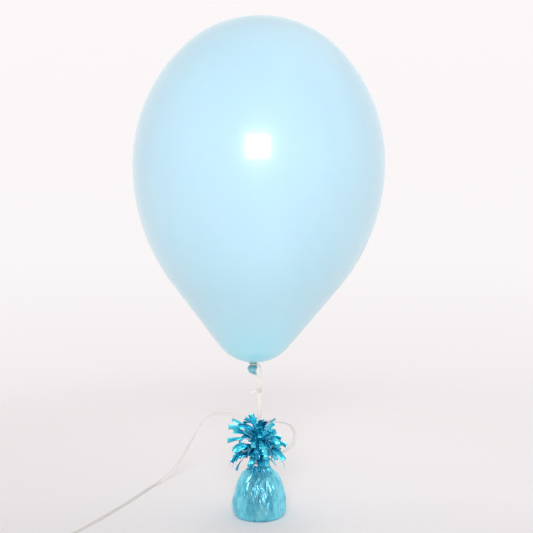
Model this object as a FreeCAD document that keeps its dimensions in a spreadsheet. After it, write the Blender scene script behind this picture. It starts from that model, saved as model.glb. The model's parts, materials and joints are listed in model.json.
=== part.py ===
import FreeCAD, Part
import Sketcher
import math
import os

# A latex balloon tied on a ribbon to a foil-wrapped weight. The origin is on the floor under the
# middle of the weight, +Z is up and +X is to the right as the balloon is faced along +Y. The
# balloon leans a little, crown to the right and neck to the left, about the middle of its belly.
# All lengths are millimetres and all angles are degrees.

DIMENSIONS = {
    # balloon skin: crown, belly, tapering lower side and rounded bottom, one after the other
    "balloon_radius": 140.0,
    "balloon_top": 569.0,
    "balloon_lean": 1.7,
    "belly_height": 405.5,
    "upper_side_radius": 180.0,
    "lower_side_radius": 220.0,
    "chin_radius": 50.0,
    "chin_height": 181.0,
    "latex_wall": 0.3,
    "neck_radius": 3.0,
    "neck_bottom": 176.4,
    # balloon knot and the rolled lip under it
    "knot_radius": 5.5,
    "knot_bottom": 170.4,
    "lip_bottom": 164.6,
    "lip_radius": 5.5,
    "lip_bore": 1.4,
    # ribbon between the weight and the balloon
    "ribbon_width": 5.0,
    "ribbon_thick": 0.5,
    "base_roll_height": 118.0,
    "base_pitch_height": 130.0,
    "top_roll_height": 151.5,
    "top_pitch_height": 174.0,
    "roll_gap": 0.9,
    "pitch_gap": 0.5,
    "stem_bottom": 66.0,
    "upper_knot_bottom": 145.5,
    "upper_knot_radius": 3.1,
    "tag_length": 9.0,
    "strand_width": 2.4,
    "strand_reach": 6.7,
    "strand_knee": 163.0,
    "wrap_bore": 3.4,
    "neck_wrap_radius": 7.0,
    "neck_wrap_bottom": 176.9,
    "neck_wrap_height": 2.4,
    # ribbon turns and knot on the neck of the weight
    "windings_bore": 10.7,
    "windings_radius": 11.6,
    "windings_bottom": 64.4,
    "lower_knot_radius": 3.0,
    "lower_knot_reach": 14.4,
    "lower_knot_height": 66.5,
    # loose tail of the ribbon and the coil at its end
    "tail_thick": 5.0,
    "coil_centre_x": -206.0,
    "coil_centre_y": -113.0,
    "coil_radius": 29.0,
    "coil_bore": 19.5,
    "coil_height": 6.0,
    # foil wrap: flat base, round belly, shoulder and gathered throat
    "foil_wall": 0.4,
    "wrap_base_radius": 27.0,
    "wrap_belly_radius": 31.0,
    "wrap_belly_height": 12.0,
    "wrap_corner_round": 20.0,
    "wrap_side_round": 70.5,
    "wrap_shoulder_radius": 20.2,
    "wrap_shoulder_height": 49.5,
    "wrap_hollow_round": 18.0,
    "throat_radius": 10.5,
    "throat_start": 60.0,
    "throat_end": 69.5,
    "tie_bore": 10.6,
    "tie_radius": 11.5,
    "tie_bottom": 60.4,
    "tie_height": 3.2,
    # ballast bag and the sand in it
    "bag_wall": 0.4,
    "bag_base_radius": 24.0,
    "bag_belly_radius": 27.8,
    "bag_belly_height": 12.0,
    "bag_bottom": 0.8,
    "bag_shoulder_radius": 17.0,
    "bag_shoulder_height": 44.0,
    "bag_top": 57.0,
    "bag_neck_radius": 3.5,
    "bag_corner_round": 18.4,
    "bag_side_round": 52.8,
    "sand_gap": 0.6,
    "sand_level": 40.0,
    "sand_corner_round": 15.6,
    "sand_side_round": 41.7,
    # fringe strips
    "strip_thick": 0.3,
    "strip_root": 58.5,
    "strip_foot": 4.0,
    "strip_fill": 0.82,
}

# Each ring of fringe is one cut sheet of foil: its radius in the throat, the height where the strips
# begin to bend outwards, the radius of that bend, how far round it the strips reach (measured up
# from level), and the number of strips.
FRINGE_RINGS = [
    {"root": 9.4, "bend": 71.0, "round": 12.3, "tip": -10.0, "strips": 22},
    {"root": 8.3, "bend": 81.0, "round": 12.7, "tip": -8.0, "strips": 21},
    {"root": 7.2, "bend": 90.5, "round": 11.6, "tip": 4.0, "strips": 19},
    {"root": 6.1, "bend": 100.0, "round": 9.4, "tip": 14.0, "strips": 16},
    {"root": 5.0, "bend": 108.0, "round": 7.0, "tip": 18.0, "strips": 12},
]

# The loose tail leaves the knot behind the weight's neck, curls out to the right, passes behind the
# fringe, falls to the floor on the left and runs forwards to its coil.
TAIL_ROUTE = [
    (3.0, 16.0, 66.5),
    (18.0, 19.5, 66.5),
    (34.5, 26.0, 70.0),
    (44.5, 36.0, 82.0),
    (36.5, 48.5, 95.0),
    (15.0, 52.0, 97.5),
    (-15.0, 55.0, 98.0),
    (-43.0, 59.0, 107.0),
    (-64.0, 68.0, 99.5),
    (-77.5, 85.0, 72.0),
    (-91.5, 101.0, 43.0),
    (-107.0, 113.0, 15.0),
    (-123.5, 112.5, 2.6),
    (-134.5, 93.5, 2.6),
    (-144.5, 66.0, 2.6),
    (-158.0, 34.0, 2.6),
    (-174.5, 0.0, 2.6),
    (-190.0, -34.0, 2.6),
    (-207.0, -67.0, 2.6),
    (-230.0, -97.0, 2.6),
]


class Size:
    """A length or angle with the spreadsheet formula that gives it."""

    def __init__(self, value, formula):
        self.value = value
        self.formula = formula

    def __add__(self, other):
        return Size(self.value + other.value, f"({self.formula} + {other.formula})")

    def __sub__(self, other):
        return Size(self.value - other.value, f"({self.formula} - {other.formula})")

    def __mul__(self, factor):
        return Size(self.value * factor, f"({self.formula} * {factor})")


def make_sheet(doc):
    """Write every driving dimension into a spreadsheet, one named cell each."""
    sheet = doc.addObject("Spreadsheet::Sheet", "Sizes")
    cells = dict(DIMENSIONS)
    for number, ring in enumerate(FRINGE_RINGS, start=1):
        for key, value in ring.items():
            cells[f"ring{number}_{key}"] = value
    for row, (alias, value) in enumerate(cells.items(), start=1):
        sheet.set(f"A{row}", alias)
        sheet.set(f"B{row}", str(value))
        sheet.setAlias(f"B{row}", alias)
    doc.recompute()
    return sheet


doc = FreeCAD.newDocument("latex_balloon")
sheet = make_sheet(doc)
parts = []


def size(alias):
    """The named cell of the spreadsheet."""
    return Size(float(sheet.get(alias)), f"Sizes.{alias}")


ZERO = Size(0.0, "0")


# ---- sketches and bodies ------------------------------------------------------------------------

def new_body(label, many_solids=False):
    """An empty body that will be written out under its label."""
    body = doc.addObject("PartDesign::Body", label)
    body.Label = label
    body.AllowCompound = many_solids
    parts.append(body)
    return body


def new_sketch(body, name, role="XZ_Plane"):
    """A sketch on one of the body's own origin planes."""
    plane = [item for item in body.Origin.OriginFeatures if item.Role == role][0]
    sketch = body.newObject("Sketcher::SketchObject", f"{body.Label}_{name}")
    sketch.AttachmentSupport = [(plane, "")]
    sketch.MapMode = "FlatFace"
    return sketch


def bind(sketch, kind, items, dimension):
    """Add a sketch dimension and tie it to the spreadsheet."""
    number = sketch.addConstraint(Sketcher.Constraint(kind, *items, dimension.value))
    sketch.setExpression(f"Constraints[{number}]", dimension.formula)


def place_point(sketch, edge, end, across, up):
    """Hold one end (1 start, 2 end, 3 centre) of an edge at a distance across and up."""
    for kind, distance, axis in (("DistanceX", across, -2), ("DistanceY", up, -1)):
        if distance is ZERO:
            sketch.addConstraint(Sketcher.Constraint("PointOnObject", edge, end, axis))
        else:
            bind(sketch, kind, (-1, 1, edge, end), distance)


def arc_between(start, finish, radius, bulge):
    """The short arc from start to finish; bulge is +1 when it swells to the right of the way."""
    middle = (start + finish) * 0.5
    along = (finish - start).normalize()
    right = FreeCAD.Vector(along.y, -along.x, 0)
    half = (finish - start).Length / 2
    rise = radius - math.sqrt(radius ** 2 - half ** 2)
    swell = middle + right * (rise * bulge)
    if bulge > 0:
        return Part.Arc(start, swell, finish)
    return Part.Arc(finish, swell, start)


def draw_outline(sketch, corners):
    """Draw a closed outline. Each corner is (across, up, radius, bulge) of the edge that leaves it,
    and a radius of None makes that edge straight."""
    points = [FreeCAD.Vector(across.value, up.value, 0) for across, up, _, _ in corners]
    count = len(corners)
    for number, (_, _, radius, bulge) in enumerate(corners):
        start = points[number]
        finish = points[(number + 1) % count]
        if radius is None:
            sketch.addGeometry(Part.LineSegment(start, finish), False)
        else:
            sketch.addGeometry(arc_between(start, finish, radius.value, bulge), False)
    starts = []
    for number in range(count):
        edge = sketch.Geometry[number]
        begins = edge.StartPoint.distanceToPoint(points[number]) < 1e-6
        starts.append((1, 2) if begins else (2, 1))
    for number in range(count):
        after = (number + 1) % count
        join = (number, starts[number][1], after, starts[after][0])
        sketch.addConstraint(Sketcher.Constraint("Coincident", *join))
    for number, (across, up, radius, _) in enumerate(corners):
        place_point(sketch, number, starts[number][0], across, up)
        if radius is not None:
            bind(sketch, "Radius", (number,), radius)


def revolve(body, sketch, cut=False):
    """Turn a sketch right round the body's upright axis, adding to the body or cutting it."""
    kind = "PartDesign::Groove" if cut else "PartDesign::Revolution"
    turned = body.newObject(kind, f"{sketch.Name}_turn")
    turned.Profile = sketch
    turned.ReferenceAxis = (sketch, ["V_Axis"])
    turned.Angle = 360.0
    body.Tip = turned
    return turned


def turned_part(label, corners):
    """A body made by turning one closed outline round the upright axis."""
    body = new_body(label)
    sketch = new_sketch(body, "outline")
    draw_outline(sketch, corners)
    revolve(body, sketch)
    return body


def hollow_part(label, outer_corners, inner_corners):
    """A body turned from one closed outline, with a second outline turned out of it."""
    body = turned_part(label, outer_corners)
    sketch = new_sketch(body, "hollow")
    draw_outline(sketch, inner_corners)
    revolve(body, sketch, cut=True)


def ring_part(label, bore, radius, bottom, height):
    """A plain ring with a rectangular section."""
    top = bottom + height
    return turned_part(label, [
        (bore, bottom, None, 0),
        (radius, bottom, None, 0),
        (radius, top, None, 0),
        (bore, top, None, 0),
    ])


def pad_both_ways(body, sketch, length):
    """Thicken a sketch by the same amount to its front and back."""
    pad = body.newObject("PartDesign::Pad", f"{sketch.Name}_pad")
    pad.Profile = sketch
    pad.Midplane = True
    pad.setExpression("Length", length.formula)
    body.Tip = pad


def flat_length(label, left, width, bottom, height):
    """A flat upright length of ribbon that faces the front."""
    thick = size("ribbon_thick")
    strip = doc.addObject("Part::Box", label)
    strip.Label = label
    strip.setExpression("Length", width.formula)
    strip.setExpression("Width", thick.formula)
    strip.setExpression("Height", height.formula)
    strip.setExpression("Placement.Base.x", left.formula)
    strip.setExpression("Placement.Base.y", (thick * -0.5).formula)
    strip.setExpression("Placement.Base.z", bottom.formula)
    parts.append(strip)


def span(label, bottom, top):
    """A length of ribbon at its full width, centred on the upright axis."""
    width = size("ribbon_width")
    flat_length(label, width * -0.5, width, bottom, top - bottom)


# ---- balloon ------------------------------------------------------------------------------------

def balloon_outline(sketch, inset, neck):
    """Half of the balloon's upright section, drawn the given distance inside its outer surface:
    crown arc, upper side arc, lower side arc, straight taper and chin arc, each flowing into the
    next. With a neck the chin runs into the short solid stem that the knot closes."""
    belly = size("belly_height")
    top = size("balloon_top") - inset
    upper = size("upper_side_radius") - inset
    lower = size("lower_side_radius") - inset
    chin = size("chin_radius") - inset
    girth = size("balloon_radius").value - inset.value
    chin_centre = size("chin_height") + size("chin_radius")
    side_x = girth - upper.value
    rise = top.value - belly.value
    crown = (upper.value ** 2 - side_x ** 2 - rise ** 2) / (2 * (upper.value - rise))
    crown_centre = FreeCAD.Vector(0, top.value - crown, 0)
    side_centre = FreeCAD.Vector(side_x, belly.value, 0)
    lean = math.atan2(crown_centre.y - side_centre.y, crown_centre.x - side_centre.x)
    low_x = girth - lower.value
    drop = chin_centre.value - belly.value
    reach = math.hypot(low_x, drop)
    slope = math.atan2(drop, -low_x) + math.acos((lower.value - chin.value) / reach)
    normal = FreeCAD.Vector(0, 0, 1)
    chin_end = math.radians(-90)
    if neck:
        chin_end = -math.acos(size("neck_radius").value / chin.value)
    low_centre = FreeCAD.Vector(low_x, belly.value, 0)
    bottom_centre = FreeCAD.Vector(0, chin_centre.value, 0)
    outward = FreeCAD.Vector(math.cos(slope), math.sin(slope), 0)
    edges = [
        Part.ArcOfCircle(Part.Circle(crown_centre, normal, crown), lean, math.radians(90)),
        Part.ArcOfCircle(Part.Circle(side_centre, normal, upper.value), 0, lean),
        Part.ArcOfCircle(Part.Circle(low_centre, normal, lower.value), slope, 0),
        Part.LineSegment(low_centre + outward * lower.value, bottom_centre + outward * chin.value),
        Part.ArcOfCircle(Part.Circle(bottom_centre, normal, chin.value), chin_end, slope),
    ]
    for edge in edges:
        sketch.addGeometry(edge, False)
    crown_arc, upper_arc, lower_arc, taper, chin_arc = range(5)
    top_point = FreeCAD.Vector(0, top.value, 0)
    chin_point = bottom_centre + FreeCAD.Vector(math.cos(chin_end), math.sin(chin_end), 0) * chin.value
    if neck:
        stem = size("neck_bottom")
        stem_corner = FreeCAD.Vector(chin_point.x, stem.value, 0)
        stem_foot = FreeCAD.Vector(0, stem.value, 0)
        sketch.addGeometry(Part.LineSegment(chin_point, stem_corner), False)
        sketch.addGeometry(Part.LineSegment(stem_corner, stem_foot), False)
        sketch.addGeometry(Part.LineSegment(stem_foot, top_point), False)
        joins = [(chin_arc, 1, 5, 1), (5, 2, 6, 1), (6, 2, 7, 1), (7, 2, crown_arc, 2)]
    else:
        sketch.addGeometry(Part.LineSegment(chin_point, top_point), False)
        joins = [(chin_arc, 1, 5, 1), (5, 2, crown_arc, 2)]
    for join in joins:
        sketch.addConstraint(Sketcher.Constraint("Coincident", *join))
    for join in ((crown_arc, 1, upper_arc, 2), (lower_arc, 1, taper, 1), (taper, 2, chin_arc, 2)):
        sketch.addConstraint(Sketcher.Constraint("Tangent", *join))
    sketch.addConstraint(Sketcher.Constraint("Coincident", upper_arc, 1, lower_arc, 2))
    place_point(sketch, crown_arc, 2, ZERO, top)
    sketch.addConstraint(Sketcher.Constraint("PointOnObject", crown_arc, 3, -2))
    place_point(sketch, upper_arc, 1, size("balloon_radius") - inset, belly)
    for arc, radius in ((upper_arc, upper), (lower_arc, lower), (chin_arc, chin)):
        bind(sketch, "Radius", (arc,), radius)
    for arc in (upper_arc, lower_arc):
        bind(sketch, "DistanceY", (-1, 1, arc, 3), belly)
    place_point(sketch, chin_arc, 3, ZERO, chin_centre)
    if neck:
        bind(sketch, "DistanceX", (-1, 1, chin_arc, 1), size("neck_radius"))
        place_point(sketch, 5, 2, size("neck_radius"), stem)
        place_point(sketch, 6, 2, ZERO, stem)
    else:
        sketch.addConstraint(Sketcher.Constraint("PointOnObject", chin_arc, 1, -2))


def lean_over(body):
    """Tip a body that belongs to the balloon about the middle of the balloon's belly."""
    turn = FreeCAD.Rotation(FreeCAD.Vector(0, 1, 0), size("balloon_lean").value)
    middle = FreeCAD.Vector(0, 0, size("belly_height").value)
    body.Placement = FreeCAD.Placement(FreeCAD.Vector(0, 0, 0), turn, middle)


def neck_offset():
    """How far the leaning neck stands to the right of the weight's axis at the top pivot."""
    rise = size("belly_height") - size("top_pitch_height")
    lean = size("balloon_lean")
    aside = -rise.value * math.sin(math.radians(lean.value))
    return Size(aside, f"({rise.formula} * sin({lean.formula} * 1 deg) * -1)")


def make_balloon_envelope():
    """The inflated skin: an outer solid with its hollow cut out, closed at the neck."""
    body = new_body("balloon_envelope")
    outer = new_sketch(body, "outer")
    balloon_outline(outer, ZERO, neck=True)
    revolve(body, outer)
    inner = new_sketch(body, "inner")
    balloon_outline(inner, size("latex_wall"), neck=False)
    revolve(body, inner, cut=True)
    lean_over(body)


def make_neck_knot():
    """The overhand knot in the twisted neck, as a squat round bead."""
    radius = size("knot_radius")
    top = size("neck_bottom")
    bottom = size("knot_bottom")
    round_over = (top - bottom) * 0.62
    flat = radius - (top - bottom) * 0.2534
    knot = turned_part("neck_knot", [
        (ZERO, bottom, None, 0),
        (flat, bottom, round_over, 1),
        (flat, top, None, 0),
        (ZERO, top, None, 0),
    ])
    lean_over(knot)


def make_rolled_lip():
    """The rolled bead at the balloon's mouth, with the short flare that carries it."""
    bore = size("lip_bore")
    radius = size("lip_radius")
    top = size("knot_bottom")
    bottom = size("lip_bottom")
    bead = (radius - bore) * 0.45
    lip = turned_part("rolled_lip", [
        (bore, top, None, 0),
        (bore, bottom + bead, None, 0),
        (radius - bead, bottom, bead, 1),
        (radius - bead, bottom + bead * 1.96, None, 0),
        (radius * 0.5, top, None, 0),
    ])
    lean_over(lip)


# ---- ribbon -------------------------------------------------------------------------------------

def make_tether():
    """The spans of ribbon from the weight up to the balloon, each a flat strip between pivots."""
    roll_gap = size("roll_gap")
    pitch_gap = size("pitch_gap")
    base_roll = size("base_roll_height")
    base_pitch = size("base_pitch_height")
    span("ribbon_stem", size("stem_bottom"), base_roll - roll_gap)
    span("ribbon_lower_span", base_roll + roll_gap, base_pitch - pitch_gap)
    span("ribbon_upper_span", base_pitch + pitch_gap, size("upper_knot_bottom"))


def make_upper_knot():
    """The small overhand knot where the loop round the balloon's neck closes."""
    bottom = size("upper_knot_bottom")
    top = size("top_roll_height") - size("roll_gap")
    height = top - bottom
    flat = size("upper_knot_radius") - height * 0.3772
    turned_part("ribbon_upper_knot", [
        (ZERO, bottom, None, 0),
        (flat, bottom, height * 0.52, 1),
        (flat, top, None, 0),
        (ZERO, top, None, 0),
    ])


def make_tag_end():
    """The short cut end of ribbon that sticks out of the upper knot to the left."""
    length = size("tag_length")
    left = (length + size("upper_knot_radius") + size("ribbon_thick")) * -1.0
    flat_length("ribbon_tag_end", left, length, size("upper_knot_bottom"), size("ribbon_width") * 0.6)


def make_ribbon_loop():
    """The two strands between the upper knot and the balloon's neck, passing to the right of the lip."""
    body = new_body("ribbon_loop", many_solids=True)
    bottom = size("top_roll_height") + size("roll_gap")
    top = size("top_pitch_height") - size("pitch_gap")
    knee = size("strand_knee")
    reach = neck_offset() + size("strand_reach")
    thick = size("ribbon_thick")
    gap = thick * 0.6
    for name, near in (("outer_strand", gap), ("inner_strand", (gap + thick) * -1.0)):
        far = near + thick
        sketch = new_sketch(body, name)
        draw_outline(sketch, [
            (near + gap * 2.0, bottom, None, 0),
            (far + gap * 2.0, bottom, None, 0),
            (reach + far, knee, None, 0),
            (reach + far, top, None, 0),
            (reach + near, top, None, 0),
            (reach + near, knee, None, 0),
        ])
        pad_both_ways(body, sketch, size("strand_width"))


def make_neck_wrap():
    """The turns of ribbon round the balloon's neck, with the tab that runs down to the loop."""
    bore = size("wrap_bore")
    radius = size("neck_wrap_radius")
    bottom = size("neck_wrap_bottom")
    top = bottom + size("neck_wrap_height")
    body = new_body("ribbon_neck_wrap")
    sketch = new_sketch(body, "turns")
    draw_outline(sketch, [
        (bore, bottom, None, 0),
        (radius + size("ribbon_thick"), bottom, None, 0),
        (radius, top, None, 0),
        (bore, top, None, 0),
    ])
    revolve(body, sketch)
    tab = new_sketch(body, "tab")
    low = size("top_pitch_height") + size("pitch_gap")
    inner = size("strand_reach") - size("ribbon_thick")
    outer = size("strand_reach") + size("ribbon_thick")
    draw_outline(tab, [
        (inner, low, None, 0),
        (outer, low, None, 0),
        (outer, top - size("neck_wrap_height") * 0.4, None, 0),
        (inner, top - size("neck_wrap_height") * 0.4, None, 0),
    ])
    pad_both_ways(body, tab, size("strand_width"))
    lean_over(body)


def make_windings():
    """The turns of ribbon round the neck of the weight, and the knot behind them."""
    ring_part("ribbon_windings", size("windings_bore"), size("windings_radius"),
              size("windings_bottom"), size("ribbon_width"))
    knot = doc.addObject("Part::Ellipsoid", "ribbon_lower_knot")
    knot.Label = "ribbon_lower_knot"
    knot.setExpression("Radius1", (size("lower_knot_radius") * 0.85).formula)
    knot.setExpression("Radius2", size("lower_knot_radius").formula)
    knot.setExpression("Radius3", (size("lower_knot_radius") * 0.9).formula)
    knot.setExpression("Placement.Base.y", size("lower_knot_reach").formula)
    knot.setExpression("Placement.Base.z", size("lower_knot_height").formula)
    parts.append(knot)


def rounded_route(route):
    """A path of straight runs joined by tangent arcs, each as large as its two runs allow."""
    points = [FreeCAD.Vector(*point) for point in route]
    edges = []
    radii = []
    here = points[0]
    for before, corner, after in zip(points, points[1:], points[2:]):
        back = (before - corner).normalize()
        onward = (after - corner).normalize()
        turn = math.pi - back.getAngle(onward)
        run = min((corner - before).Length, (after - corner).Length)
        radius = 0.45 * run / math.tan(turn / 2)
        trim = 0.45 * run
        arc_start = corner + back * trim
        arc_finish = corner + onward * trim
        inward = (back + onward).normalize()
        centre = corner + inward * math.hypot(radius, trim)
        arc_middle = centre - inward * radius
        edges.append(Part.LineSegment(here, arc_start).toShape())
        edges.append(Part.Arc(arc_start, arc_middle, arc_finish).toShape())
        radii.append(radius)
        here = arc_finish
    edges.append(Part.LineSegment(here, points[-1]).toShape())
    return Part.Wire(edges), radii


def make_tail():
    """The loose tail of the ribbon as a round tube as thick as the ribbon is wide."""
    path, radii = rounded_route(TAIL_ROUTE)
    thick = size("tail_thick").value
    start = FreeCAD.Vector(*TAIL_ROUTE[0])
    along = FreeCAD.Vector(*TAIL_ROUTE[1]) - start
    section = Part.Wire(Part.makeCircle(thick / 2, start, along))
    tail = doc.addObject("Part::Feature", "ribbon_tail")
    tail.Label = "ribbon_tail"
    tail.Shape = path.makePipeShell([section], True, True)
    parts.append(tail)
    expected = math.pi * (thick / 2) ** 2 * path.Length
    print("tail length", round(path.Length, 1), "bend radii", [round(radius, 1) for radius in radii])
    print("tail volume over section times length", round(tail.Shape.Volume / expected, 4))


def make_tail_coil():
    """The outer shape of the neat coil that holds the rest of the ribbon."""
    coil = ring_part("ribbon_tail_coil", size("coil_bore"), size("coil_radius"), ZERO,
                     size("coil_height"))
    coil.setExpression("Placement.Base.x", size("coil_centre_x").formula)
    coil.setExpression("Placement.Base.y", size("coil_centre_y").formula)


# ---- weight -------------------------------------------------------------------------------------

def make_foil_wrap():
    """The foil square gathered up round the ballast: a thin bag with an open, gathered throat."""
    wall = size("foil_wall")
    base = size("wrap_base_radius")
    belly = size("wrap_belly_radius")
    belly_height = size("wrap_belly_height")
    shoulder = size("wrap_shoulder_radius")
    shoulder_height = size("wrap_shoulder_height")
    throat = size("throat_radius")
    corner = size("wrap_corner_round")
    side = size("wrap_side_round")
    hollow = size("wrap_hollow_round")
    hollow_part("foil_wrap", [
        (ZERO, ZERO, None, 0),
        (base, ZERO, corner, 1),
        (belly, belly_height, side, 1),
        (shoulder, shoulder_height, hollow, -1),
        (throat, size("throat_start"), None, 0),
        (throat, size("throat_end"), None, 0),
        (ZERO, size("throat_end"), None, 0),
    ], [
        (ZERO, wall, None, 0),
        (base - wall, wall, corner - wall, 1),
        (belly - wall, belly_height, side - wall, 1),
        (shoulder - wall, shoulder_height - wall, hollow + wall, -1),
        (throat - wall, size("throat_start"), None, 0),
        (throat - wall, size("throat_end"), None, 0),
        (ZERO, size("throat_end"), None, 0),
    ])


def make_ballast_bag():
    """The thin plastic bag that holds the sand, closed at the top by its twisted neck."""
    wall = size("bag_wall")
    bottom = size("bag_bottom")
    base = size("bag_base_radius")
    belly = size("bag_belly_radius")
    belly_height = size("bag_belly_height")
    shoulder = size("bag_shoulder_radius")
    shoulder_height = size("bag_shoulder_height")
    neck = size("bag_neck_radius")
    top = size("bag_top")
    corner = size("bag_corner_round")
    side = size("bag_side_round")
    hollow_part("ballast_bag", [
        (ZERO, bottom, None, 0),
        (base, bottom, corner, 1),
        (belly, belly_height, side, 1),
        (shoulder, shoulder_height, None, 0),
        (neck, shoulder_height + neck * 2.0, None, 0),
        (neck, top, None, 0),
        (ZERO, top, None, 0),
    ], [
        (ZERO, bottom + wall, None, 0),
        (base - wall, bottom + wall, corner - wall, 1),
        (belly - wall, belly_height, side - wall, 1),
        (shoulder - wall, shoulder_height - wall, None, 0),
        (ZERO, shoulder_height + neck, None, 0),
    ])


def make_ballast_fill():
    """The sand, which takes the inside shape of the bag and is level on top."""
    inset = size("bag_wall") + size("sand_gap")
    base = size("bag_base_radius") - inset
    belly = size("bag_belly_radius") - inset
    bottom = size("bag_bottom") + inset
    crown = size("bag_shoulder_radius") - inset
    turned_part("ballast_fill", [
        (ZERO, bottom, None, 0),
        (base, bottom, size("sand_corner_round"), 1),
        (belly, size("bag_belly_height"), size("sand_side_round"), 1),
        (crown, size("sand_level"), None, 0),
        (ZERO, size("sand_level"), None, 0),
    ])


def make_neck_tie():
    """The band that holds the foil gathered under the fringe."""
    ring_part("neck_tie", size("tie_bore"), size("tie_radius"), size("tie_bottom"), size("tie_height"))


def make_fringe_ring(number, ring):
    """One cut sheet of foil rolled into a ring: its uncut foot is held in the throat, and each
    strip rises from the foot, bends outwards and droops."""
    root = size(f"ring{number}_root")
    bend = size(f"ring{number}_bend")
    outer_round = size(f"ring{number}_round")
    strips = size(f"ring{number}_strips")
    thick = size("strip_thick")
    tip_angle = math.radians(ring["tip"])
    inner_round = outer_round - thick
    centre = FreeCAD.Vector(root.value + outer_round.value, bend.value, 0)
    normal = FreeCAD.Vector(0, 0, 1)
    root_height = size("strip_root")
    foot_top = root_height + size("strip_foot")
    body = new_body(f"fringe_ring_{number}")
    foot = new_sketch(body, "foot")
    draw_outline(foot, [
        (root, root_height, None, 0),
        (root + thick, root_height, None, 0),
        (root + thick, foot_top, None, 0),
        (root, foot_top, None, 0),
    ])
    revolve(body, foot)
    sketch = new_sketch(body, "strip")
    outer_arc = Part.ArcOfCircle(Part.Circle(centre, normal, outer_round.value), tip_angle, math.pi)
    inner_arc = Part.ArcOfCircle(Part.Circle(centre, normal, inner_round.value), tip_angle, math.pi)
    outer_foot = FreeCAD.Vector(root.value, root_height.value, 0)
    inner_foot = FreeCAD.Vector(root.value + thick.value, root_height.value, 0)
    sketch.addGeometry([
        outer_arc,
        inner_arc,
        Part.LineSegment(outer_arc.StartPoint, inner_arc.StartPoint),
        Part.LineSegment(outer_arc.EndPoint, outer_foot),
        Part.LineSegment(outer_foot, inner_foot),
        Part.LineSegment(inner_foot, inner_arc.EndPoint),
    ], False)
    joins = [(0, 1, 2, 1), (2, 2, 1, 1), (0, 2, 3, 1), (3, 2, 4, 1), (4, 2, 5, 1), (5, 2, 1, 2)]
    for join in joins:
        sketch.addConstraint(Sketcher.Constraint("Coincident", *join))
    sketch.addConstraint(Sketcher.Constraint("Coincident", 0, 3, 1, 3))
    place_point(sketch, 0, 3, root + outer_round, bend)
    bind(sketch, "Radius", (0,), outer_round)
    bind(sketch, "Radius", (1,), inner_round)
    sketch.addConstraint(Sketcher.Constraint("PointOnObject", 0, 3, 2))
    tip = Size(tip_angle + math.pi, f"((180 + Sizes.ring{number}_tip) * 1 deg)")
    bind(sketch, "Angle", (2,), tip)
    for arc in (0, 1):
        bind(sketch, "DistanceY", (-1, 1, arc, 2), bend)
    place_point(sketch, 3, 2, root, root_height)
    place_point(sketch, 4, 2, root + thick, root_height)
    blade = revolve(body, sketch)
    blade.Midplane = True
    blade.setExpression("Angle", f"360 * Sizes.strip_fill / {strips.formula}")
    pattern = body.newObject("PartDesign::PolarPattern", f"{sketch.Name}_round")
    pattern.Originals = [blade]
    pattern.Axis = (sketch, ["V_Axis"])
    pattern.Angle = 360.0
    pattern.setExpression("Occurrences", strips.formula)
    body.Tip = pattern


# ---- build, check and write ---------------------------------------------------------------------

make_balloon_envelope()
make_neck_knot()
make_rolled_lip()
make_tether()
make_upper_knot()
make_tag_end()
make_ribbon_loop()
make_neck_wrap()
make_windings()
make_tail()
make_tail_coil()
make_foil_wrap()
make_ballast_bag()
make_ballast_fill()
make_neck_tie()
for ring_number, ring_sizes in enumerate(FRINGE_RINGS, start=1):
    make_fringe_ring(ring_number, ring_sizes)
doc.recompute()

for item in doc.Objects:
    if "Invalid" in item.State or "Error" in item.State:
        raise RuntimeError(f"{item.Label} failed: {item.getStatusString()}")
os.makedirs("parts", exist_ok=True)
for part in parts:
    shape = part.Shape
    if shape.isNull() or not shape.isValid() or not shape.Solids:
        raise RuntimeError(f"{part.Label} has no valid shape")
    box = shape.BoundBox
    print(part.Label, len(shape.Solids), "solids", round(shape.Volume, 1), "mm3",
          [round(edge, 1) for edge in (box.XMin, box.XMax, box.YMin, box.YMax, box.ZMin, box.ZMax)])
for part in parts:
    part.Shape.exportStep(f"parts/{part.Label}.step")
print("wrote", len(parts), "parts")
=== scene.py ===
import json
import math
import random

import bpy
from mathutils import Matrix, Vector, noise


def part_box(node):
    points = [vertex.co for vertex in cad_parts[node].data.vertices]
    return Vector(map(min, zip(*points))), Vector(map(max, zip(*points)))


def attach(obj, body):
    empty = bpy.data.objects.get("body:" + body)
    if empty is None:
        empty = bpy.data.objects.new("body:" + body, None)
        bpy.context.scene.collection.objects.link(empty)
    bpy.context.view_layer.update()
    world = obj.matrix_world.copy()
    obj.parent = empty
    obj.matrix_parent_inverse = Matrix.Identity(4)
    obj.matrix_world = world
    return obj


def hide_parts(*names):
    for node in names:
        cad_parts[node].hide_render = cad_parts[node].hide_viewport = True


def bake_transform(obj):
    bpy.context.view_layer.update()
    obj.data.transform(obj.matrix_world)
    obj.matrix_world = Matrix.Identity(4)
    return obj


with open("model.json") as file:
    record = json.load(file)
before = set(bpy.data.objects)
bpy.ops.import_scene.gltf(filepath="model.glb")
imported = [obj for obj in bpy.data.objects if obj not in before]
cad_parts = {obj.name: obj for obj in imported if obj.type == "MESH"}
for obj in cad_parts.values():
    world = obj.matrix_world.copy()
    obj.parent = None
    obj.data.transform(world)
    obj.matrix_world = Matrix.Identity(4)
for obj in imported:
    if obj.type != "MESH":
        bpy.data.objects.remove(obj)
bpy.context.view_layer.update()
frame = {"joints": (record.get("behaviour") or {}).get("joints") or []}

MM = 0.001
UP = Vector((0, 0, 1))
TURN = 2 * math.pi


# ---- sizes taken from the frame ----

def node_size(node):
    """(radius, lowest height, highest height) of a turned CAD node."""
    low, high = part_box(node)
    return (high.y - low.y) / 2, low.z, high.z


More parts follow.
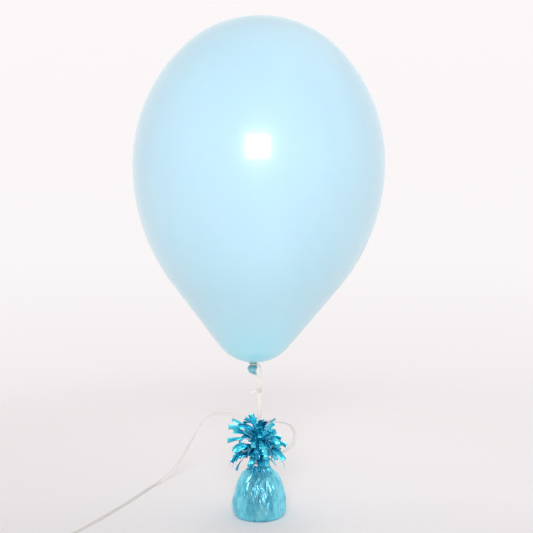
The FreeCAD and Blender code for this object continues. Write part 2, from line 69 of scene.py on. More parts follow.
BALLOON_RADIUS, NECK_BOTTOM, BALLOON_TOP = node_size("balloon_envelope")
KNOT_RADIUS, KNOT_BOTTOM, KNOT_TOP = node_size("neck_knot")
LIP_RADIUS, LIP_BOTTOM, LIP_TOP = node_size("rolled_lip")
WRAP_RADIUS, _, WRAP_TOP = node_size("foil_wrap")
TIE_RADIUS, TIE_BOTTOM, TIE_TOP = node_size("neck_tie")
TURNS_RADIUS, TURNS_BOTTOM, TURNS_TOP = node_size("ribbon_windings")
BAG_RADIUS, BAG_BOTTOM, BAG_TOP = node_size("ballast_bag")
SAND_RADIUS, SAND_BOTTOM, SAND_TOP = node_size("ballast_fill")
NECK_TURNS_TOP = node_size("ribbon_neck_wrap")[2]
PIVOTS = {joint["name"]: Vector(joint["pos_m"]) for joint in frame["joints"]}
AXES = {joint["name"]: Vector(joint["axis"]).normalized() for joint in frame["joints"]}

# The lip as drawn: shorter than its CAD node, and hanging down towards the right by this slope.
LIP_LOW = LIP_BOTTOM + 0.0026
LIP_HIGH = LIP_TOP + 0.0006
LIP_SLOPE = 0.36

RIBBON_WIDTH = 5.0 * MM
RIBBON_THICK = 0.25 * MM
FOIL_THICK = 0.12 * MM


def balloon_lean():
    """The turn that tips an upright balloon on to its own leaning axis, about the height where that
    axis passes over the weight."""
    spot = PIVOTS["balloon_spin"]
    axis = AXES["balloon_spin"]
    middle = spot - axis * (spot.x / axis.x)
    turn = UP.rotation_difference(axis).to_matrix().to_4x4()
    return Matrix.Translation(middle) @ turn @ Matrix.Translation(-middle)


LEAN = balloon_lean()


# ---- mesh helpers ----

def polar(radius, angle, height=0.0):
    """The point at a radius, an angle round the upright axis, and a height."""
    return Vector((radius * math.cos(angle), radius * math.sin(angle), height))


def outward(point):
    """The level direction from the upright axis to a point."""
    return Vector((point.x, point.y, 0)).normalized()


def new_object(name, vertices, faces, material):
    """A mesh object from plain lists, linked to the scene."""
    mesh = bpy.data.meshes.new(name)
    mesh.from_pydata([tuple(vertex) for vertex in vertices], [], faces)
    mesh.validate()
    mesh.polygons.foreach_set("use_smooth", [True] * len(mesh.polygons))
    mesh.materials.append(material)
    mesh.update()
    piece = bpy.data.objects.new(name, mesh)
    bpy.context.scene.collection.objects.link(piece)
    return piece


def ring_faces(rows, columns, first=0):
    """Quads joining rows of points that each go right round."""
    faces = []
    for row in range(rows - 1):
        for column in range(columns):
            start = first + row * columns
            here, after = start + column, start + (column + 1) % columns
            faces.append((here, after, after + columns, here + columns))
    return faces


def closed_rings(name, ring_sets, material):
    """One mesh of closed skins, each over its rings of points, with a fan at each end."""
    vertices = []
    faces = []
    for rings in ring_sets:
        first = len(vertices)
        columns = len(rings[0])
        vertices.extend(point for ring in rings for point in ring)
        faces.extend(ring_faces(len(rings), columns, first))
        last = len(vertices) - columns
        for ring, start, flip in ((rings[0], first, True), (rings[-1], last, False)):
            centre = len(vertices)
            vertices.append(sum(ring, Vector()) / columns)
            for column in range(columns):
                here, after = start + column, start + (column + 1) % columns
                faces.append((after, here, centre) if flip else (here, after, centre))
    return new_object(name, vertices, faces, material)


def turned_rings(profile, columns, shift=lambda point, angle: point):
    """Rings of points for an outline of (radius, height) pairs; shift moves each point."""
    angles = [TURN * column / columns for column in range(columns)]
    return [[shift(polar(radius, angle, height), angle) for angle in angles]
            for radius, height in profile]


def tube_rings(path, radius, columns, lobes=0, depth=0.0, twist=0.0):
    """Rings round a path, with optional lobes that twist along it like a wrung cloth."""
    tangents = path_tangents(path)
    side = tangents[0].orthogonal().normalized()
    rings = []
    for number, (point, tangent) in enumerate(zip(path, tangents)):
        side = (side - tangent * side.dot(tangent)).normalized()
        other = tangent.cross(side)
        share = number / (len(path) - 1)
        size = radius(share) if callable(radius) else radius
        ring = []
        for column in range(columns):
            angle = TURN * column / columns
            swell = 1 + depth * math.cos(lobes * angle + twist * share)
            ring.append(point + (side * math.cos(angle) + other * math.sin(angle)) * size * swell)
        rings.append(ring)
    return rings


def path_tangents(path):
    """The direction of a path at each of its points."""
    return [(after - before).normalized()
            for before, after in zip(path[:1] + path[:-1], path[1:] + path[-1:])]


def spline_path(route):
    """Points read from a smooth curve that is drawn through a route of control points."""
    curve = bpy.data.curves.new("route", "CURVE")
    curve.dimensions = "3D"
    curve.resolution_u = 12
    spline = curve.splines.new("NURBS")
    spline.points.add(len(route) - 1)
    for control, point in zip(spline.points, route):
        control.co = (*point, 1)
    spline.order_u = 3
    spline.use_endpoint_u = True
    holder = bpy.data.objects.new("route", curve)
    bpy.context.scene.collection.objects.link(holder)
    bpy.context.view_layer.update()
    line = bpy.data.meshes.new_from_object(holder)
    path = [vertex.co.copy() for vertex in line.vertices]
    bpy.data.objects.remove(holder)
    bpy.data.meshes.remove(line)
    return path


def blend_between(values, share):
    """The value at a share of the way along a list, turning evenly from one to the next."""
    place = share * (len(values) - 1)
    number = min(int(place), len(values) - 2)
    step = place - number
    step = step * step * (3 - 2 * step)
    return values[number] * (1 - step) + values[number + 1] * step


def flat_ribbon(path, faces_to, width, thick, across=4, cup=0.0, taper=None):
    """Vertices, faces and UVs of a thin closed strip along a path. faces_to gives the way its flat
    side looks at each point, cup bows it across, and taper narrows it along its length."""
    tangents = path_tangents(path)
    long = [0.0]
    for before, after in zip(path, path[1:]):
        long.append(long[-1] + (after - before).length)
    vertices = []
    uvs = []
    for number, (point, tangent, look) in enumerate(zip(path, tangents, faces_to)):
        normal = (look - tangent * look.dot(tangent)).normalized()
        side = tangent.cross(normal)
        share = number / (len(path) - 1)
        half = width / 2 * (taper(share) if taper else 1.0)
        for layer in (1, -1):
            for step in range(across + 1):
                place = 2 * step / across - 1
                bow = cup * (1 - place * place) * half
                vertices.append(point + side * (half * place) + normal * (bow + layer * thick / 2))
                uvs.append((place * 0.5 + 0.5, long[number]))
    row = 2 * (across + 1)
    count = len(path)
    faces = []
    for number in range(count - 1):
        base = number * row
        loop = list(range(across + 1)) + list(range(row - 1, across, -1))
        for here, after in zip(loop, loop[1:] + loop[:1]):
            faces.append((base + here, base + after, base + row + after, base + row + here))
    for base, flip in ((0, False), ((count - 1) * row, True)):
        for step in range(across):
            near, far = base + step, base + across + 1 + step
            quad = (near, far, far + 1, near + 1)
            faces.append(quad[::-1] if flip else quad)
    return vertices, faces, uvs


def ribbon_object(name, strips, material):
    """One mesh of several strips, whose UVs run across and along them, side by side."""
    vertices = []
    faces = []
    uvs = []
    for number, (strip_vertices, strip_faces, strip_uvs) in enumerate(strips):
        first = len(vertices)
        vertices.extend(strip_vertices)
        uvs.extend((across + 3 * number, along) for across, along in strip_uvs)
        faces.extend(tuple(first + index for index in face) for face in strip_faces)
    piece = new_object(name, vertices, faces, material)
    layer = piece.data.uv_layers.new(name="along")
    for loop in piece.data.loops:
        layer.data[loop.index].uv = uvs[loop.vertex_index]
    return piece


def belongs(piece, body, slot, *nodes):
    """Ties a piece to its body and hides the CAD nodes that it stands for. The slot is not used."""
    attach(piece, body)
    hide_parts(*nodes)


# ---- materials ----

class Tree:
    """A node tree with short ways to add and join nodes."""

    def __init__(self, tree):
        self.tree = tree

    def add(self, kind, **settings):
        """A new node; a setting goes to its attribute, or else to its input of that name."""
        node = self.tree.nodes.new(kind)
        for key, value in settings.items():
            if hasattr(node, key):
                setattr(node, key, value)
            else:
                node.inputs[key.replace("_", " ")].default_value = value
        return node

    def join(self, source, target):
        self.tree.links.new(source, target)

    def coordinates(self, kind="Object", scale=(1, 1, 1)):
        """Texture coordinates, stretched by a scale along each axis."""
        source = self.add("ShaderNodeTexCoord")
        mapping = self.add("ShaderNodeMapping", Scale=scale)
        self.join(source.outputs[kind], mapping.inputs["Vector"])
        return mapping.outputs["Vector"]

    def axes(self, vector):
        """The three parts of a vector."""
        node = self.add("ShaderNodeSeparateXYZ")
        self.join(vector, node.inputs["Vector"])
        return [node.outputs[name] for name in "XYZ"]

    def distance(self, vector, spot=(0, 0, 0)):
        """How far a vector's end is from a spot."""
        node = self.add("ShaderNodeVectorMath", operation="DISTANCE")
        self.join(vector, node.inputs[0])
        node.inputs[1].default_value = spot
        return node.outputs["Value"]

    def graded(self, value, start, end, low=0.0, high=1.0, easing="LINEAR"):
        """Runs from low to high as a value goes from start to end."""
        node = self.add("ShaderNodeMapRange", From_Min=start, From_Max=end, To_Min=low, To_Max=high,
                        interpolation_type=easing)
        self.join(value, node.inputs["Value"])
        return node.outputs["Result"]

    def combine(self, operation, *values):
        """A sum or product of values, each a socket or a number."""
        node = self.add("ShaderNodeMath", operation=operation)
        for socket, value in zip(node.inputs, values):
            if isinstance(value, float):
                socket.default_value = value
            else:
                self.join(value, socket)
        return node.outputs["Value"]

    def ramp(self, value, stops):
        """A colour ramp over a value; stops are (position, colour)."""
        node = self.add("ShaderNodeValToRGB")
        ramp = node.color_ramp
        while len(ramp.elements) < len(stops):
            ramp.elements.new(0.5)
        for element, (position, colour) in zip(ramp.elements, stops):
            element.position = position
            element.color = (*colour, 1)
        self.join(value, node.inputs["Fac"])
        return node.outputs["Color"]

    def noise(self, vector, scale, detail=3.0, rough=0.5):
        node = self.add("ShaderNodeTexNoise", Scale=scale, Detail=detail, Roughness=rough)
        self.join(vector, node.inputs["Vector"])
        return node.outputs["Fac"]

    def blend(self, factor, first, second, mode="MIX"):
        """Two colours mixed by a factor, each of the three a socket or a constant."""
        node = self.add("ShaderNodeMix", data_type="RGBA", blend_type=mode)
        if isinstance(factor, float):
            node.inputs["Factor"].default_value = factor
        else:
            self.join(factor, node.inputs["Factor"])
        for name, colour in (("A", first), ("B", second)):
            socket = next(item for item in node.inputs if item.name == name and item.type == "RGBA")
            if isinstance(colour, tuple):
                socket.default_value = (*colour, 1)
            else:
                self.join(colour, socket)
        return next(item for item in node.outputs if item.type == "RGBA")


class Nodes(Tree):
    """A new material's nodes, round its shader."""

    def __init__(self, name):
        self.material = bpy.data.materials.new(name)
        self.material.use_nodes = True
        super().__init__(self.material.node_tree)
        self.shader = self.tree.nodes["Principled BSDF"]

    def feed(self, socket, value):
        self.join(value, self.shader.inputs[socket])

    def set(self, **values):
        for key, value in values.items():
            self.shader.inputs[key.replace("_", " ")].default_value = value

    def bump(self, height, strength, distance):
        node = self.add("ShaderNodeBump", Strength=strength, Distance=distance)
        self.join(height, node.inputs["Height"])
        self.feed("Normal", node.outputs["Normal"])
        return node.outputs["Normal"]


def latex_material(name, stops, low, high, roughness, coat, slope=0.0, **settings):
    """Thin stretched latex: its colour deepens towards the neck, where the film is thicker. The
    bands of colour rise by the slope towards the right."""
    nodes = Nodes(name)
    place = nodes.coordinates()
    across, _, up = nodes.axes(place)
    level = nodes.combine("MULTIPLY_ADD", across, -slope, up)
    colour = nodes.ramp(nodes.graded(level, low, high), stops)
    streaks = nodes.noise(nodes.coordinates(scale=(1, 1, 0.25)), 18.0, 4.0)
    shade = nodes.ramp(streaks, [(0.3, (0.955, 0.965, 0.975)), (0.7, (1, 1, 1))])
    nodes.feed("Base Color", nodes.blend(1.0, colour, shade, "MULTIPLY"))
    grain = nodes.noise(place, 900.0, 2.0)
    nodes.feed("Roughness", nodes.graded(grain, 0.0, 1.0, roughness * 0.85, roughness * 1.2))
    nodes.bump(grain, 0.05, 0.0002)
    nodes.set(IOR=1.5, Coat_Weight=coat, Coat_Roughness=0.12, Subsurface_Weight=0.15,
              Subsurface_Scale=0.02, Sheen_Weight=0.37, Sheen_Roughness=0.45,
              Sheen_Tint=(0.86, 1.0, 1.0, 1.0), **settings)
    return nodes.material


def lip_heights():
    """The lip's lowest and highest level, read along its slope where the leaning neck crosses."""
    shift = LIP_SLOPE * (LEAN @ Vector((0, 0, LIP_TOP))).x
    return LIP_LOW + shift, LIP_HIGH + shift


def make_ribbon_material():
    """Cream curling ribbon: satin, thin enough to let light through, with fine lines along it."""
    nodes = Nodes("cream_ribbon")
    lines = nodes.noise(nodes.coordinates("UV", (60, 120, 1)), 1.0, 3.0)
    cloud = nodes.noise(nodes.coordinates(), 120.0, 3.0)
    tint = nodes.ramp(cloud, [(0.3, (0.83, 0.75, 0.67)), (0.75, (0.88, 0.80, 0.75))])
    fine = nodes.ramp(lines, [(0.3, (0.90, 0.90, 0.90)), (0.7, (1, 1, 1))])
    nodes.feed("Base Color", nodes.blend(1.0, tint, fine, "MULTIPLY"))
    nodes.feed("Roughness", nodes.graded(lines, 0.0, 1.0, 0.38, 0.54))
    nodes.bump(lines, 0.25, 0.0002)
    nodes.set(IOR=1.5, Specular_IOR_Level=0.2, Subsurface_Weight=0.4, Subsurface_Scale=0.003,
              Subsurface_Radius=(1.0, 0.9, 0.8))
    return nodes.material


def gathered_shade(nodes, tint):
    """Painted shade on the wrap: dark streaks on its front, as shade in its creases, and painted
    shade in its deep folds under the neck.
    """
    across, back, up = nodes.axes(nodes.coordinates())
    middle = nodes.graded(nodes.combine("ABSOLUTE", across), 0.008, 0.019, 1.0, 0.0)
    facing = nodes.graded(back, 0.0, -0.010)
    band = nodes.ramp(nodes.graded(up, 0.0, 0.06), [
        (0.0, (0.20,) * 3), (0.45, (1.0,) * 3), (0.72, (0.95,) * 3), (0.90, (0.15,) * 3),
    ])
    front = nodes.combine("MULTIPLY", nodes.combine("MULTIPLY", middle, facing), band)
    # Painted shade: dark streaks across the front of the wrap, as shade in its creases.
    streaks = nodes.noise(nodes.coordinates(scale=(1, 1, 0.2)), 430.0, 3.0)
    front_crease_shade = nodes.ramp(streaks, [(0.38, (0.34, 0.41, 0.47)), (0.62, (0.67, 0.67, 0.71))])
    tint = nodes.blend(1.0, tint, nodes.blend(front, (1.0, 1.0, 1.0), front_crease_shade), "MULTIPLY")
    # Painted shade: darker streaks in the deep folds under the neck.
    gather = nodes.graded(up, 0.046, 0.058, 0.0, 0.55)
    folds = nodes.noise(nodes.coordinates(scale=(1, 1, 0.12)), 190.0, 2.0)
    depth = nodes.combine("ADD", gather, folds)
    fold_shade = nodes.ramp(depth, [(0.83, (1, 1, 1)), (1.0, (0.16, 0.50, 0.62))])
    return nodes.blend(1.0, tint, fold_shade, "MULTIPLY")


def make_foil_material(name, tints, roughness, scale, metallic, bump, by_strip=False):
    """Turquoise metallised film, finely crinkled, with its tints in patches or strip by strip, and
    painted shade along its crease lines.
    """
    nodes = Nodes(name)
    place = nodes.coordinates(scale=(1, 1, 0.5))
    patches = nodes.noise(place, scale * 0.3, 4.0)
    if by_strip:
        patches = nodes.noise(nodes.coordinates("UV", (0.9, 22, 1)), 1.0, 1.0)
    # Painted shade: darker lines along the cell edges, as shade in the foil's crease lines.
    lines = nodes.add("ShaderNodeTexVoronoi", Scale=scale * 0.5, feature="DISTANCE_TO_EDGE")
    nodes.join(nodes.coordinates(scale=(1, 1, 0.25)), lines.inputs["Vector"])
    creases = nodes.ramp(lines.outputs["Distance"], [(0.0, (0.6, 0.78, 0.84)), (0.07, (1, 1, 1))])
    tint = nodes.blend(0.2 if by_strip else 1.0, nodes.ramp(patches, tints), creases, "MULTIPLY")
    if not by_strip:
        tint = gathered_shade(nodes, tint)
    nodes.feed("Base Color", tint)
    facets = nodes.add("ShaderNodeTexVoronoi", Scale=scale)
    nodes.join(place, facets.inputs["Vector"])
    fine = nodes.noise(place, scale * 2.2, 5.0)
    height = nodes.combine("ADD", facets.outputs["Distance"], fine)
    if by_strip:
        shine = nodes.graded(fine, 0.0, 1.0, roughness * 0.6, roughness * 1.4)
    else:
        shine = nodes.graded(fine, 0.34, 0.46, 0.12, roughness)
    nodes.feed("Roughness", shine)
    nodes.feed("Coat Normal", nodes.bump(height, bump, 0.0008))
    nodes.set(Metallic=metallic, Coat_Weight=0.45, Coat_Roughness=0.12)
    return nodes.material


def plain_material(name, scale, grain, stops, gloss, bump, **settings):
    """A material whose tint, gloss and relief all follow one noise. grain is the noise's scale,
    detail and roughness, and bump is its strength and depth."""
    nodes = Nodes(name)
    value = nodes.noise(nodes.coordinates(scale=scale), *grain)
    nodes.feed("Base Color", nodes.ramp(value, stops))
    nodes.feed("Roughness", nodes.graded(value, 0.0, 1.0, *gloss))
    nodes.bump(value, *bump)
    nodes.set(**settings)
    return nodes.material


SKIN = latex_material("latex_skin", [
    (0.0, (0.10, 0.42, 0.52)), (0.03, (0.26, 0.86, 1.0)), (0.12, (0.44, 0.84, 0.96)),
    (0.40, (0.50, 0.80, 0.92)), (1.0, (0.52, 0.78, 0.91)),
], NECK_BOTTOM, NECK_BOTTOM + 0.19, 0.30, 0.5, Alpha=0.90)
KNOT = latex_material("latex_knot", [
    (0.0, (0.26, 0.60, 0.68)), (0.5, (0.15, 0.45, 0.53)), (1.0, (0.07, 0.28, 0.36)),
], KNOT_BOTTOM, KNOT_TOP, 0.35, 0.3)
LIP = latex_material("latex_lip", [
    (0.0, (0.16, 0.40, 0.47)), (0.30, (0.24, 0.52, 0.60)), (0.45, (0.40, 0.74, 0.82)),
    (0.72, (0.42, 0.76, 0.84)), (0.90, (0.12, 0.40, 0.49)),
], *lip_heights(), 0.35, 0.3, LIP_SLOPE)
RIBBON = make_ribbon_material()
FOIL = make_foil_material("foil_wrap_film", [
    (0.32, (0.11, 0.56, 0.73)), (0.46, (0.18, 0.73, 0.88)), (0.66, (0.28, 0.83, 0.96)),
], 0.46, 380.0, 0.85, 0.22)
FRINGE = make_foil_material("foil_strip_film", [
    (0.38, (0.005, 0.27, 0.49)), (0.48, (0.015, 0.54, 0.78)), (0.62, (0.12, 0.84, 0.97)),
], 0.26, 260.0, 0.80, 0.1, by_strip=True)
BAND = plain_material("rubber_band", (1, 1, 6), (500.0, 3.0), [
    (0.3, (0.78, 0.72, 0.62)), (0.7, (0.88, 0.84, 0.76)),
], (0.5, 0.75), (0.3, 0.0002))
BAG = plain_material("clear_bag", (1, 1, 0.4), (160.0, 4.0), [
    (0.3, (0.80, 0.84, 0.86)), (0.7, (0.93, 0.95, 0.96)),
], (0.08, 0.25), (0.4, 0.0005), Alpha=0.35, IOR=1.5)
SAND = plain_material("dry_sand", (1, 1, 1), (1400.0, 4.0, 0.7), [
    (0.25, (0.34, 0.25, 0.15)), (0.5, (0.60, 0.48, 0.31)), (0.8, (0.82, 0.74, 0.58)),
], (0.75, 0.95), (0.8, 0.0006))


# ---- camera ----

def make_camera():
    """A long lens a little below the level of the balloon's crown, looking slightly down."""
    data = bpy.data.cameras.new("camera")
    data.lens = 85.0
    data.sensor_width = 36.0
    camera = bpy.data.objects.new("camera", data)
    camera.location = (0.0084, -1.4, 0.51)
    camera.rotation_euler = (math.radians(90 - 8.9), 0, 0)
    bpy.context.scene.collection.objects.link(camera)
    bpy.context.scene.camera = camera


make_camera()


# ---- the ribbon's loose tail ----

# The tail's route from the knot behind the weight's neck to the start of its coil, in metres, with
# the way that the ribbon's flat side looks at each point.
TAIL_ROUTE = [
    ((0.003, 0.016, 0.0665), (0.0, 0.3, 1.0)),
    ((0.018, 0.0195, 0.0665), (0.0, -0.3, 1.0)),
    ((0.0345, 0.026, 0.070), (-0.3, -0.6, 0.8)),
    ((0.0445, 0.036, 0.082), (-0.9, -0.3, 0.4)),
    ((0.0365, 0.0485, 0.095), (-0.3, -0.5, -0.8)),
    ((0.015, 0.052, 0.0975), (0.0, -0.6, -0.8)),
    ((-0.015, 0.055, 0.098), (0.0, -0.5, 0.9)),
    ((-0.043, 0.059, 0.107), (0.0, -0.4, 0.9)),
    ((-0.064, 0.068, 0.0995), (-0.8, 0.3, 0.6)),
    ((-0.0775, 0.085, 0.072), (-0.95, -0.3, 0.1)),
    ((-0.0915, 0.101, 0.043), (-0.9, -0.4, 0.1)),
    ((-0.107, 0.113, 0.015), (-0.5, -0.6, 0.6)),
    ((-0.1235, 0.1125, 0.0026), (-0.1, -0.3, 1.0)),
    ((-0.1345, 0.0935, 0.0026), (0.0, 0.1, 1.0)),
    ((-0.1445, 0.066, 0.0026), (0.1, 0.0, 1.0)),
    ((-0.158, 0.034, 0.0026), (0.0, 0.0, 1.0)),
    ((-0.1745, 0.0, 0.0026), (-0.15, 0.0, 1.0)),
    ((-0.19, -0.034, 0.0026), (0.1, 0.0, 1.0)),
    ((-0.207, -0.067, 0.0026), (0.0, 0.0, 1.0)),
    ((-0.23, -0.097, 0.0026), (-0.9, 0.5, 0.6)),
]
COIL_TURNS = 5
COIL_STEPS = 14
REST_LIFT = 0.0026      # height of the route where the tail lies on the floor


def coil_route():
    """The tail's turns in its coil, the ribbon standing on edge, each turn a little different."""
    low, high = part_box("ribbon_tail_coil")
    centre = (low + high) / 2
    outer = (high.x - low.x) / 2
    start = Vector(TAIL_ROUTE[-1][0]) - centre
    first = math.atan2(start.y, start.x)
    route = []
    for step in range(1, COIL_TURNS * COIL_STEPS + 1):
        turn = step / COIL_STEPS
        angle = first + TURN * turn
        wander = 0.00012 * math.sin(3 * angle + turn) + 0.00010 * math.sin(1.7 * angle)
        radius = outer - 0.0006 - 0.00185 * turn + wander
        way = polar(1, angle)
        spot = centre + way * radius
        route.append((Vector((spot.x, spot.y, REST_LIFT)), way + UP * 0.05))
    return route


def make_tail():
    """The loose tail: one flat ribbon that curls, falls to the floor and ends in its coil."""
    stops = [(Vector(point), Vector(look).normalized()) for point, look in TAIL_ROUTE]
    stops += coil_route()
    path = spline_path([point for point, _ in stops])
    looks = [look for _, look in stops]
    tangents = path_tangents(path)
    centres = []
    faces_to = []
    for number, (point, tangent) in enumerate(zip(path, tangents)):
        look = blend_between(looks, number / (len(path) - 1))
        normal = (look - tangent * look.dot(tangent)).normalized()
        stand = math.sqrt(max(0.0, 1 - normal.z ** 2)) * RIBBON_WIDTH / 2
        centres.append(point + UP * (stand + RIBBON_THICK - REST_LIFT))
        faces_to.append(normal)
    strip = flat_ribbon(centres, faces_to, RIBBON_WIDTH, RIBBON_THICK, cup=0.08)
    tail = ribbon_object("tail_ribbon", [strip], RIBBON)
    belongs(tail, "weight", "ribbon", "ribbon_tail", "ribbon_tail_coil")


make_tail()


# ---- balloon ----

def arc_points(centre, radius, start, finish, count):
    """(across, up) points along an arc, angles in radians."""
    points = []
    for step in range(count):
        angle = start + (finish - start) * step / (count - 1)
        points.append((centre[0] + radius * math.cos(angle), centre[1] + radius * math.sin(angle)))
    return points


def balloon_profile():
    """The skin's outline from crown to neck: four arcs and a straight taper, each flowing into
    the next, in proportion to the balloon's radius and height."""
    girth = BALLOON_RADIUS
    chin_bottom = NECK_BOTTOM + 0.0046
    belly = BALLOON_TOP - girth * 1.168
    upper = girth * 1.286
    lower = girth * 1.571
    chin = girth * 0.357
    rise = BALLOON_TOP - belly
    side_x = girth - upper
    crown = (upper ** 2 - side_x ** 2 - rise ** 2) / (2 * (upper - rise))
    crown_up = BALLOON_TOP - crown
    lean = math.atan2(crown_up - belly, -side_x)
    low_x = girth - lower
    chin_up = chin_bottom + chin
    reach = math.hypot(low_x, chin_up - belly)
    slope = math.atan2(chin_up - belly, -low_x) + math.acos((lower - chin) / reach)
    neck = 0.0036
    points = arc_points((0, crown_up), crown, math.radians(89.4), lean, 34)
    points += arc_points((side_x, belly), upper, lean, 0, 22)[1:]
    points += arc_points((low_x, belly), lower, 0, slope, 30)[1:]
    chin_arc = arc_points((0, chin_up), chin, slope, -math.acos(neck / chin), 34)
    last = Vector(points[-1])
    first = Vector(chin_arc[0])
    points += [tuple(last.lerp(first, step / 12)) for step in range(1, 12)]
    points += chin_arc
    points.append((neck * 0.86, chin_bottom - 0.0008))
    points.append((neck * 0.86, NECK_BOTTOM + 0.0004))
    return points


def neck_pleats(point, angle):
    """Small folds that run out of the tied neck into the chin and die away up the skin."""
    radius = math.hypot(point.x, point.y)
    low = max(0.0, 1 - (point.z - NECK_BOTTOM) / 0.016)
    if low <= 0 or radius > 0.024:
        return point
    fade = low * low * max(0.0, 1 - radius / 0.024)
    fold = 0.00035 * fade * math.cos(11 * angle + 0.8 * math.sin(2 * angle))
    return point + outward(point) * fold - UP * abs(fold) * 0.6


def make_skin():
    rings = turned_rings(balloon_profile(), 144, neck_pleats)
    skin = closed_rings("balloon_skin", [rings[::-1]], SKIN)
    skin.data.transform(LEAN)
    belongs(skin, "balloon", "latex", "balloon_envelope")


def shifted(piece, aside):
    """Sets a piece aside from the balloon's axis and then leans it with the balloon."""
    piece.data.transform(Matrix.Translation((aside, 0, 0)))
    piece.data.transform(LEAN)


def make_balloon_knot():
    """The wrung neck passed round itself: a fat twisted loop lying across a short plug."""
    middle = (KNOT_BOTTOM + KNOT_TOP) / 2
    reach = KNOT_RADIUS * 0.60
    loop = []
    for step in range(49):
        angle = TURN * step / 48
        loop.append(polar(reach, angle, middle + 0.0011 * math.sin(angle + 0.6)))
    parts = [tube_rings(loop, 0.0025, 18, lobes=5, depth=0.07, twist=9.0)]
    plug = [Vector((0.0002 * math.sin(step), 0, KNOT_TOP + 0.0002 - step * 0.00062))
            for step in range(11)]
    parts.append(tube_rings(plug, lambda share: 0.0026 + 0.0006 * math.sin(math.pi * share), 18,
                            lobes=6, depth=0.08, twist=3.0))
    over = []
    for step in range(21):
        share = step / 20
        angle = math.radians(-150 + 170 * share)
        over.append(Vector((
            KNOT_RADIUS * 0.62 * math.cos(angle) * 0.9,
            KNOT_RADIUS * 0.70 * math.sin(angle),
            middle + 0.0026 * (0.5 - share) * 1.6,
        )))
    parts.append(tube_rings(over, lambda share: 0.0008 + 0.0010 * math.sin(math.pi * share), 14,
                            lobes=4, depth=0.10, twist=5.0))
    knot = closed_rings("balloon_knot", parts, KNOT)
    shifted(knot, -0.0008)
    belongs(knot, "balloon", "latex_knot", "neck_knot")


def make_lip():
    """The mouth of the balloon: a short pleated flare ending in its rolled bead."""
    bead = 0.00085
    flare = []
    steps = 12
    depth = LIP_HIGH - LIP_LOW - bead
    for step in range(steps + 1):
        share = step / steps
        radius = 0.0036 + (LIP_RADIUS - bead - 0.0036) * share ** 1.2
        flare.append((radius, LIP_HIGH + 0.0004 - depth * share))
    rim_radius, rim_height = flare[-1]
    curl = bead * 0.9
    for step in range(1, 15):
        angle = math.radians(80 - step * 22)
        flare.append((rim_radius + curl * math.cos(angle),
                      rim_height - curl + curl * math.sin(angle)))
    for step in range(steps, -1, -2):
        share = step / steps
        radius = 0.0014 + (LIP_RADIUS - bead - 0.0020) * share ** 1.6
        flare.append((radius, LIP_HIGH + 0.0002 - depth * share - 0.0003 * (1 - share)))

    def ruffle(point, angle):
        share = min(1.0, max(0.0, (LIP_HIGH - point.z) / (LIP_HIGH - LIP_LOW)))
        wave = 1 + 0.055 * share * math.sin(5 * angle + 0.7) + 0.03 * share * math.sin(9 * angle)
        lift = 0.0006 - LIP_SLOPE * point.x * share
        return Vector((point.x * wave * 0.96, point.y * wave * 0.90, point.z + lift))

    lip = closed_rings("balloon_lip", [turned_rings(flare, 72, ruffle)], LIP)
    shifted(lip, -0.0006)
    belongs(lip, "balloon", "latex_lip", "rolled_lip")


make_skin()
make_balloon_knot()
make_lip()


# ---- ribbon between the weight and the balloon ----

def ribbon_piece(name, points, looks, nodes, width=RIBBON_WIDTH, cup=0.06):
    """A length of ribbon along given points, standing for its CAD nodes."""
    path = spline_path([Vector(point) for point in points])
    look_list = [Vector(look).normalized() for look in looks]
    faces_to = [blend_between(look_list, number / (len(path) - 1)) for number in range(len(path))]
    strip = flat_ribbon(path, faces_to, width, RIBBON_THICK, cup=cup)
    piece = ribbon_object(name, [strip], RIBBON)
    if nodes:
        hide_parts(*nodes)
    return piece


def make_strand():
    """The single strand from the weight's neck up to the ribbon's upper knot, in two lengths that
    meet between the two lower pivots."""
    roll = PIVOTS["tether_base_roll"]
    pitch = PIVOTS["tether_base_pitch"]
    top = PIVOTS["tether_top_roll"]
    meet = (roll.z + pitch.z) / 2
    front = (0.0, -1.0, 0.0)
    lower = ribbon_piece("strand_lower", [
        (0, 0, 0.067), (0.0004, 0, 0.085), (-0.0003, 0, 0.103), (0, 0, meet - 0.006), (0, 0, meet),
    ], [(0.5, -1, 0), (0.2, -1, 0), front], ["ribbon_stem", "ribbon_lower_span"])
    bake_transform(lower)
    upper = ribbon_piece("strand_upper", [
        (0, 0, meet), (0, 0, meet + 0.006), (0.0003, 0, pitch.z + 0.006), (0, 0, top.z - 0.003),
    ], [front, front, (0.25, -1, 0)], ["ribbon_upper_span"])
    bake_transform(upper)


def make_upper_knot():
    """The small flat knot that closes the loop, and the cut end that sticks out of it."""
    low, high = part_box("ribbon_upper_knot")
    middle = (low + high) / 2
    turn = []
    for step in range(30):
        angle = TURN * 1.25 * step / 29
        share = step / 29
        turn.append(middle + Vector((0.0021 * math.cos(angle), 0.0013 * math.sin(angle),
                                     -0.0012 + 0.0022 * share + 0.0006 * math.sin(angle))))
    looks = [Vector((point.x - middle.x, (point.y - middle.y) * 1.8, 0.2 * MM)).normalized()
             for point in turn]
    wrap = flat_ribbon(turn, looks, 0.0030, 0.0005, cup=0.25)
    core = []
    for step in range(12):
        share = step / 11
        core.append(middle + Vector((0.0003 * math.sin(4 * share), 0, -0.0026 + 0.0052 * share)))
    core_strip = flat_ribbon(core, [Vector((0.2, -1, 0))] * 12, 0.0032, 0.0016, cup=0.2)
    knot = ribbon_object("ribbon_knot", [wrap, core_strip], RIBBON)
    belongs(knot, "tether_upper", "ribbon", "ribbon_upper_knot")
    tag_low, tag_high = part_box("ribbon_tag_end")
    height = (tag_low.z + tag_high.z) / 2
    tag = ribbon_piece("ribbon_tag", [
        (-0.0008, -0.0008, height + 0.0006), (-0.004, -0.001, height + 0.0004),
        (-0.0075, -0.0004, height - 0.0008), (tag_low.x + 0.002, 0, height - 0.0026),
    ], [(0, -0.7, 1), (0.1, -1, 0.5), (0, -1, 0.2)], ["ribbon_tag_end"], width=0.0042)
    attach(tag, "tether_upper")


